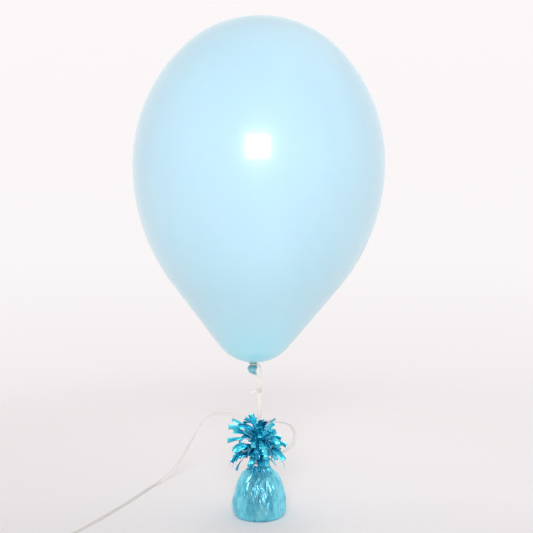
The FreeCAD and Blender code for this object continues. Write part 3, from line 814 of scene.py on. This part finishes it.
def make_loop():
    """The two strands of the loop from the upper knot up beside the lip to the balloon's neck, in
    two lengths that meet between the two upper pivots."""
    roll = PIVOTS["tether_top_roll"]
    pitch = PIVOTS["tether_top_pitch"]
    meet = (roll.z + pitch.z) / 2
    neck = (LEAN @ pitch).x
    side = neck + 0.0083
    top = NECK_TURNS_TOP - 0.0016
    lower = ribbon_piece("loop_lower_front", [
        (0.0010, -0.0007, roll.z - 0.002), (0.0011, -0.0009, roll.z + 0.003),
        (0.0012, -0.0008, meet - 0.004), (0.0010, -0.0006, meet),
    ], [(0.2, -1, 0), (0.3, -1, 0), (0.4, -1, 0)], ["ribbon_loop"], width=0.0030)
    upper = ribbon_piece("loop_upper_front", [
        (0.0010, -0.0006, meet), (0.0008, -0.0005, meet + 0.004), (side, 0, pitch.z - 0.004),
        (side, 0, pitch.z + 0.002), (neck + 0.0049, 0, top),
    ], [(0.4, -1, 0), (0.6, -1, 0), (1, -0.4, 0.3)], [], width=0.0030)
    lower_back = ribbon_piece("loop_lower_back", [
        (0.0004, 0.0007, roll.z - 0.002), (0.0002, 0.0012, roll.z + 0.003),
        (-0.0012, 0.0032, meet - 0.004), (-0.0024, 0.0048, meet),
    ], [(0.3, -1, 0), (0, -1, 0.2), (0, -1, 0.3)], [], width=0.0026)
    upper_back = ribbon_piece("loop_upper_back", [
        (-0.0024, 0.0048, meet), (-0.0036, 0.0068, meet + 0.004),
        (neck + 0.0012, 0.0082, pitch.z - 0.004), (neck + 0.0010, 0.0078, pitch.z + 0.001),
        (neck + 0.0008, 0.0049, top),
    ], [(0, -1, 0.3), (0, -1, 0), (0, -1, -0.3)], [], width=0.0026)
    for lower_piece, upper_piece in ((lower, upper), (lower_back, upper_back)):
        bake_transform(lower_piece)
        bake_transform(upper_piece)


def make_neck_turns():
    """The ribbon's turns round the balloon's neck, bunched and crossing each other."""
    middle = (NECK_BOTTOM + 0.0005 + NECK_TURNS_TOP) / 2 + 0.0004
    path = []
    looks = []
    steps = 84
    for step in range(steps):
        share = step / (steps - 1)
        angle = TURN * 3.0 * share
        radius = 0.0037 + 0.0008 * share + 0.0002 * math.sin(2.3 * angle)
        path.append(polar(radius, angle, middle + 0.00045 * math.sin(angle * 0.67 + 1)))
        looks.append(polar(1, angle, 0.15))
    strip = flat_ribbon(path, looks, 0.0013, RIBBON_THICK, cup=0.2)
    turns = ribbon_object("neck_ribbon_turns", [strip], RIBBON)
    turns.data.transform(LEAN)
    belongs(turns, "neck_turns", "ribbon", "ribbon_neck_wrap")


def make_weight_turns():
    """The ribbon's turns round the weight's neck and the knot behind it."""
    path = []
    looks = []
    steps = 96
    middle = (TURNS_BOTTOM + TURNS_TOP) / 2
    for step in range(steps):
        share = step / (steps - 1)
        angle = math.radians(80) + TURN * 2.1 * share
        radius = TURNS_RADIUS - 0.0007 + 0.0005 * share
        path.append(polar(radius, angle, middle + 0.0009 * math.sin(angle * 0.5 + 0.4)))
        looks.append(polar(1, angle, 0.05))
    strip = flat_ribbon(path, looks, RIBBON_WIDTH * 0.84, RIBBON_THICK, cup=0.05)
    turns = ribbon_object("weight_ribbon_turns", [strip], RIBBON)
    belongs(turns, "weight", "ribbon", "ribbon_windings")
    low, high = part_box("ribbon_lower_knot")
    centre = (low + high) / 2
    loop = []
    outwards = []
    for step in range(36):
        angle = TURN * 1.3 * step / 35
        way = Vector((math.cos(angle) * 0.9, 0.25 * math.sin(angle), math.sin(angle)))
        loop.append(centre + way * 0.0019 + Vector((0, 0.0012 * (step / 35 - 0.5), 0)))
        outwards.append(way)
    knot_strip = flat_ribbon(loop, outwards, 0.0034, 0.0007, cup=0.2)
    plug = [centre + Vector((0, -0.0030 + 0.0006 * step, 0.0002 * math.sin(step)))
            for step in range(10)]
    plug_strip = flat_ribbon(plug, [Vector((0.2, 0, 1))] * 10, 0.0034, 0.0022, cup=0.2)
    knot = ribbon_object("weight_ribbon_knot", [knot_strip, plug_strip], RIBBON)
    belongs(knot, "weight", "ribbon", "ribbon_lower_knot")


make_strand()
make_upper_knot()
make_loop()
make_neck_turns()
make_weight_turns()


# ---- foil-wrapped weight ----

def wrap_profile():
    """The foil wrap's outline from the middle of its base up to the open throat."""
    base = WRAP_RADIUS * 0.89
    shoulder = Vector((WRAP_RADIUS * 0.652, 0.0495))
    throat = 0.0105
    points = [(base * share, 0.0) for share in (0.02, 0.3, 0.6, 0.85, 0.96)]
    points += [(base + 0.0009, 0.0004), (base + 0.0022, 0.0030), (base + 0.0030, 0.0068)]
    arc = 0.0705
    for step in range(52):
        angle = math.radians(33.0) * step / 51
        points.append((WRAP_RADIUS - arc + arc * math.cos(angle), 0.0115 + arc * math.sin(angle)))
    for step in range(1, 19):
        share = step / 18
        curve = shoulder.lerp(Vector((throat, 0.0605)), share)
        dip = 0.0017 * math.sin(math.pi * share)
        points.append((curve.x - dip * 0.7, curve.y - dip * 0.7))
    for step in range(1, 7):
        points.append((throat, 0.0605 + (WRAP_TOP - 0.0605) * step / 6))
    for _ in range(24):
        eased = list(points)
        for number in range(30, len(points) - 4):
            before, here, after = points[number - 1:number + 2]
            eased[number] = tuple((a + 2 * b + c) / 4 for a, b, c in zip(before, here, after))
        points = eased
    return points


def crease_waves():
    """Straight creases up and across the foil: (waves round, waves per metre up, phase)."""
    picker = random.Random(4)
    waves = []
    for number in range(13):
        around = 7 + 5 * number
        slant = picker.uniform(-1, 1) * (14 + 2.6 * around)
        waves.append((around, slant, picker.random()))
    return waves


CREASES = crease_waves()


def zigzag(place):
    """A straight-sided wave between -1 and 1."""
    return 4 * abs(place - math.floor(place + 0.5)) - 1


def foil_crumple(point, angle):
    """Pleats that fan out of the throat, and flat facets with sharp creases between them, finest
    at the front."""
    radius = math.hypot(point.x, point.y)
    if radius < 1e-6:
        return point
    front = max(0.0, -math.sin(angle + 0.1)) ** 3
    warp = 0.35 * noise.noise(point * 55)
    depth = 0.0
    for around, slant, phase in CREASES:
        size = 0.0055 / around
        share = 1.0 if around < 12 else 0.22 + 0.78 * front
        depth += size * share * zigzag(around * angle / TURN + slant * point.z + phase + warp)
    gather = min(1.0, max(0.0, (point.z - 0.020) / 0.036)) ** 1.6
    pleats = zigzag(13 * angle / TURN + 0.4 * warp + 0.3) + 0.6 * zigzag(21 * angle / TURN + warp)
    depth += 0.0011 * gather * pleats - 0.0008 * gather
    hold = min(1.0, point.z / 0.005)
    if point.z > 0.059:
        hold *= 0.5
    return point + outward(point) * depth * hold


def make_wrap():
    """The wrap: a crumpled outside, and an inside one thickness of folded foil within it."""
    fold = 0.0003
    outside = turned_rings(wrap_profile(), 360, foil_crumple)
    inside = [[point - outward(point) * fold + UP * (fold if point.z < 0.002 else 0.0)
               for point in ring] for ring in outside[::-1]]
    wrap = closed_rings("foil_wrap_skin", [outside + inside], FOIL)
    belongs(wrap, "weight", "foil", "foil_wrap")


def lumpy(amount, scale):
    """A shift that dents a turned surface softly."""
    def shift(point, angle):
        lump = noise.noise(point * scale) * amount
        return point + outward(point) * (lump - amount)
    return shift


def gumdrop(radius, bottom, shoulder, top, neck):
    """An outline like the wrap's, closed at the top by a neck of the given radius."""
    points = [(radius * 0.02, bottom), (radius * 0.5, bottom), (radius * 0.84, bottom)]
    for step in range(14):
        angle = math.radians(-40 + 75 * step / 13)
        level = 0.36 + 0.62 * math.sin(angle) / 0.6428 * 0.56
        points.append((radius * (0.25 + 0.75 * math.cos(angle)),
                       bottom + (shoulder - bottom) * level))
    points.append((neck * 2.2, shoulder + (top - shoulder) * 0.25))
    points.append((neck, shoulder + (top - shoulder) * 0.5))
    points.append((neck, top))
    return points


def make_insides():
    """The sand and its clear bag, and the band round the throat."""
    outline = gumdrop(SAND_RADIUS - 0.0006, SAND_BOTTOM, SAND_TOP - 0.004, SAND_TOP, 0.008)
    sand = closed_rings("sand", [turned_rings(outline, 72, lumpy(0.0006, 160))], SAND)
    belongs(sand, "weight", "sand", "ballast_fill")
    outline = gumdrop(BAG_RADIUS, BAG_BOTTOM, 0.0450, BAG_TOP, 0.0032)
    bag = closed_rings("sand_bag", [turned_rings(outline, 96, lumpy(0.0003, 260))], BAG)
    belongs(bag, "weight", "clear_bag", "ballast_bag")
    path = []
    for step in range(61):
        angle = TURN * step / 60
        height = (TIE_BOTTOM + TIE_TOP) / 2 + 0.0003 * math.sin(3 * angle)
        path.append(polar(TIE_RADIUS - 0.0006, angle, height))
    width = TIE_TOP - TIE_BOTTOM - 0.0006
    strip = flat_ribbon(path, [outward(point) for point in path], width, 0.0009)
    band = ribbon_object("throat_band", [strip], BAND)
    belongs(band, "weight", "band", "neck_tie")


make_wrap()
make_insides()


# ---- fringe ----

STRIP_WIDTH = 6.6 * MM
STRIP_FOOT = 0.0590


def strip_taper(share):
    """Narrow where the strips are gathered in the throat, full width past the bend."""
    return 0.4 + 0.6 * min(1.0, share / 0.3)


def fringe_strip(root, bend, angle, lift, length, droop, sway=0.0, turn=0.0,
                 width=STRIP_WIDTH, cup=0.12):
    """One strip of foil: upright to its bend, then away at a lift in degrees above level, turning
    down by its droop towards the cut end."""
    out = polar(1, angle)
    along = UP.cross(out)
    path = [out * root + UP * (STRIP_FOOT + (bend - STRIP_FOOT) * step / 5) for step in range(6)]
    steps = 22
    for step in range(1, steps + 1):
        share = step / steps
        early = min(1.0, share / 0.3)
        late = max(0.0, share - 0.2) / 0.8
        tilt = math.radians(90 + (lift - 90) * early - droop * late)
        move = out * math.cos(tilt) + UP * math.sin(tilt) + along * (sway * share)
        path.append(path[-1] + move.normalized() * length / steps)
    faces_to = []
    for number, tangent in enumerate(path_tangents(path)):
        share = max(0.0, (number - 5) / steps)
        roll = Matrix.Rotation(turn * share, 3, tangent)
        faces_to.append(roll @ along.cross(tangent).normalized())
    return flat_ribbon(path, faces_to, width, FOIL_THICK, across=3, cup=cup, taper=strip_taper)


# Each cut sheet of the pom-pom: its CAD node, its radius in the throat, its number of strips, the
# height of its bend, the lift of its strips in degrees, their length past the bend, and how far
# they turn down towards their ends.
FRINGE_SHEETS = [
    ("fringe_ring_1", 0.0090, 15, 0.0690, (5, 45), 0.025, (40, 120)),
    ("fringe_ring_2", 0.0080, 15, 0.0780, (5, 50), 0.026, (20, 110)),
    ("fringe_ring_3", 0.0070, 14, 0.0865, (10, 60), 0.026, (20, 100)),
    ("fringe_ring_4", 0.0060, 13, 0.0945, (20, 65), 0.024, (20, 110)),
    ("fringe_ring_5", 0.0050, 6, 0.1010, (35, 78), 0.020, (20, 110)),
]

# Strips that stand apart from the rest, by sheet: angle, lift, length, droop, sway, turn, and the
# width of the narrow ones.
STRAYS = {
    "fringe_ring_5": [
        (200, 76, 0.020, 4, 0.0, 1.4), (322, 45, 0.026, 20, 0.0, 0.9, 0.003),
        (283, 88, 0.0185, 60, 0.0, 0.2), (255, 86, 0.0180, 95, 0.0, 0.4),
        (310, 78, 0.0195, 80, 0.0, -0.5), (268, 66, 0.015, 85, 0.1, 0.3),
    ],
    "fringe_ring_4": [
        (188, 22, 0.034, 22, 0.0, 1.4), (170, 30, 0.032, 10, 0.0, -1.0, 0.004),
        (275, 50, 0.018, 100, 0.0, 0.2),
    ],
    "fringe_ring_3": [
        (196, 2, 0.034, 8, 0.0, 1.4), (340, 0, 0.030, 30, 0.0, -1.3),
        (250, 40, 0.022, 110, 0.1, 0.3), (310, 30, 0.022, 110, 0.0, -0.5),
        (280, 30, 0.020, 115, 0.0, -0.2),
    ],
    "fringe_ring_2": [
        (206, -16, 0.036, 36, 0.1, 1.3), (330, -10, 0.032, 40, -0.1, 0.9),
        (262, 20, 0.024, 110, 0.1, 0.4), (292, 15, 0.024, 115, -0.1, 0.6),
        (234, 20, 0.026, 90, 0.2, 0.8), (312, 15, 0.024, 100, -0.1, -0.5),
    ],
    "fringe_ring_1": [
        (206, 16, 0.038, 95, 0.1, 0.5, 0.0030), (218, -4, 0.034, 60, 0.1, 1.2),
        (200, 20, 0.042, 110, -0.1, 0.3, 0.0022),
        (333, 10, 0.036, 90, 0.0, -0.4, 0.0028),
        (244, 10, 0.020, 110, 0.0, 0.5), (268, -10, 0.016, 90, 0.2, 0.4, 0.0052),
        (301, 4, 0.019, 105, 0.0, -0.4),
    ],
}


def make_fringe():
    """The pom-pom: five cut sheets of foil, each a ring of strips curled its own way."""
    picker = random.Random(11)
    for node, root, count, bend, lifts, length, droops in FRINGE_SHEETS:
        strips = []
        start = picker.uniform(0, TURN)
        for number in range(count):
            angle = start + TURN * (number + picker.uniform(-0.3, 0.3)) / count
            face_on = picker.choice((-1, 1)) * picker.uniform(0.7, 1.4) * abs(math.cos(angle))
            strips.append(fringe_strip(
                root,
                bend + picker.uniform(-0.003, 0.001),
                angle,
                picker.uniform(*lifts),
                length * picker.uniform(0.68, 1.05) * (1 - 0.12 * math.cos(angle)),
                picker.uniform(*droops),
                picker.uniform(-0.5, 0.5),
                face_on + picker.uniform(-0.35, 0.35),
                cup=picker.uniform(0.05, 0.25),
            ))
        for angle, *shape in STRAYS[node]:
            strips.append(fringe_strip(root, bend, math.radians(angle), *shape))
        ring = ribbon_object(node.replace("fringe_ring", "foil_fringe"), strips, FRINGE)
        belongs(ring, "weight", "fringe", node)


make_fringe()


# ---- stage and light ----

def make_floor():
    """A pale disc that fades into the surrounding light, with painted shade: darker towards the
    front and on the left, and a painted shadow just in front of the weight.
    """
    sides = 96
    rings = turned_rings([(radius, 0.0) for radius in (0.02, 0.3, 0.6, 0.9)], sides)
    vertices = [point for ring in rings for point in ring]
    faces = ring_faces(len(rings), sides)
    vertices.append(Vector((0, 0, 0)))
    faces.extend((column, (column + 1) % sides, len(vertices) - 1) for column in range(sides))
    nodes = Nodes("pale_floor")
    place = nodes.coordinates()
    nodes.feed("Alpha", nodes.graded(nodes.distance(place), 0.30, 0.85, 1.0, 0.0, "SMOOTHERSTEP"))
    across, back, _ = nodes.axes(place)
    # Painted shade: the floor darkens towards the front.
    near = nodes.ramp(nodes.graded(back, -0.3, 0.7), [
        (0.12, (0.800,) * 3), (0.25, (0.866,) * 3), (0.36, (0.931,) * 3),
        (0.55, (0.975,) * 3), (0.72, (1.0,) * 3), (0.94, (0.995,) * 3),
    ])
    # Painted shade: the left side is a little darker than the right.
    side = nodes.graded(across, -0.3, 0.3, 0.96, 1.02)
    # Painted shadow: a soft dark patch just in front of the weight.
    painted_front_shadow = nodes.graded(nodes.distance(place, (0.0, -0.06, 0.0)), 0.0, 0.10, 0.91, 1.0, "SMOOTHSTEP")
    level = nodes.combine("MULTIPLY", painted_front_shadow, side)
    base = nodes.ramp(level, [(0.0, (0, 0, 0)), (1.0, (0.998, 0.950, 0.950))])
    nodes.feed("Base Color", nodes.blend(1.0, base, near, "MULTIPLY"))
    nodes.set(Roughness=0.9)
    floor = new_object("floor", vertices, faces, nodes.material)


def make_light(name, place, target, width, height, watts):
    data = bpy.data.lights.new(name, "AREA")
    data.shape = "RECTANGLE"
    data.size = width
    data.size_y = height
    data.energy = watts
    lamp = bpy.data.objects.new(name, data)
    lamp.location = place
    lamp.rotation_euler = (Vector(target) - Vector(place)).to_track_quat("-Z", "Y").to_euler()
    bpy.context.scene.collection.objects.link(lamp)


def make_world():
    """A pale surround, whiter above, with a dimmer side behind the viewer for the foil to show."""
    world = bpy.data.worlds.new("surround")
    world.use_nodes = True
    bpy.context.scene.world = world
    world.node_tree.nodes.clear()
    nodes = Tree(world.node_tree)
    _, back, up = nodes.axes(nodes.add("ShaderNodeTexCoord").outputs["Generated"])
    sky = nodes.ramp(nodes.graded(up, -0.36, 0.06), [
        (0.0, (0.80, 0.765, 0.77)), (0.15, (0.85, 0.812, 0.82)), (0.28, (0.885, 0.847, 0.855)),
        (0.50, (0.958, 0.925, 0.932)), (1.0, (0.975, 0.932, 0.940)),
    ])
    seen = nodes.add("ShaderNodeBackground")
    nodes.join(sky, seen.inputs["Color"])
    lit = nodes.add("ShaderNodeBackground", Color=(0.99, 0.97, 0.975, 1))
    front = nodes.graded(back, -0.9, 0.3, 0.6, 1.0)
    above = nodes.graded(up, 0.1, 1.0, 1.0, 0.72)
    nodes.join(nodes.combine("MULTIPLY", front, above), lit.inputs["Strength"])
    mix = nodes.add("ShaderNodeMixShader")
    nodes.join(nodes.add("ShaderNodeLightPath").outputs["Is Camera Ray"], mix.inputs["Fac"])
    nodes.join(lit.outputs["Background"], mix.inputs[1])
    nodes.join(seen.outputs["Background"], mix.inputs[2])
    nodes.join(mix.outputs["Shader"], nodes.add("ShaderNodeOutputWorld").inputs["Surface"])


make_floor()
make_light("key_softbox", (-0.02, -1.5, 0.80), (0, -0.1, 0.40), 0.57, 0.44, 14.0)
make_light("top_fill", (0.6, 0.3, 1.6), (0, 0, 0.2), 1.4, 1.4, 2.0)
make_world()
bpy.context.scene.view_settings.view_transform = "Standard"
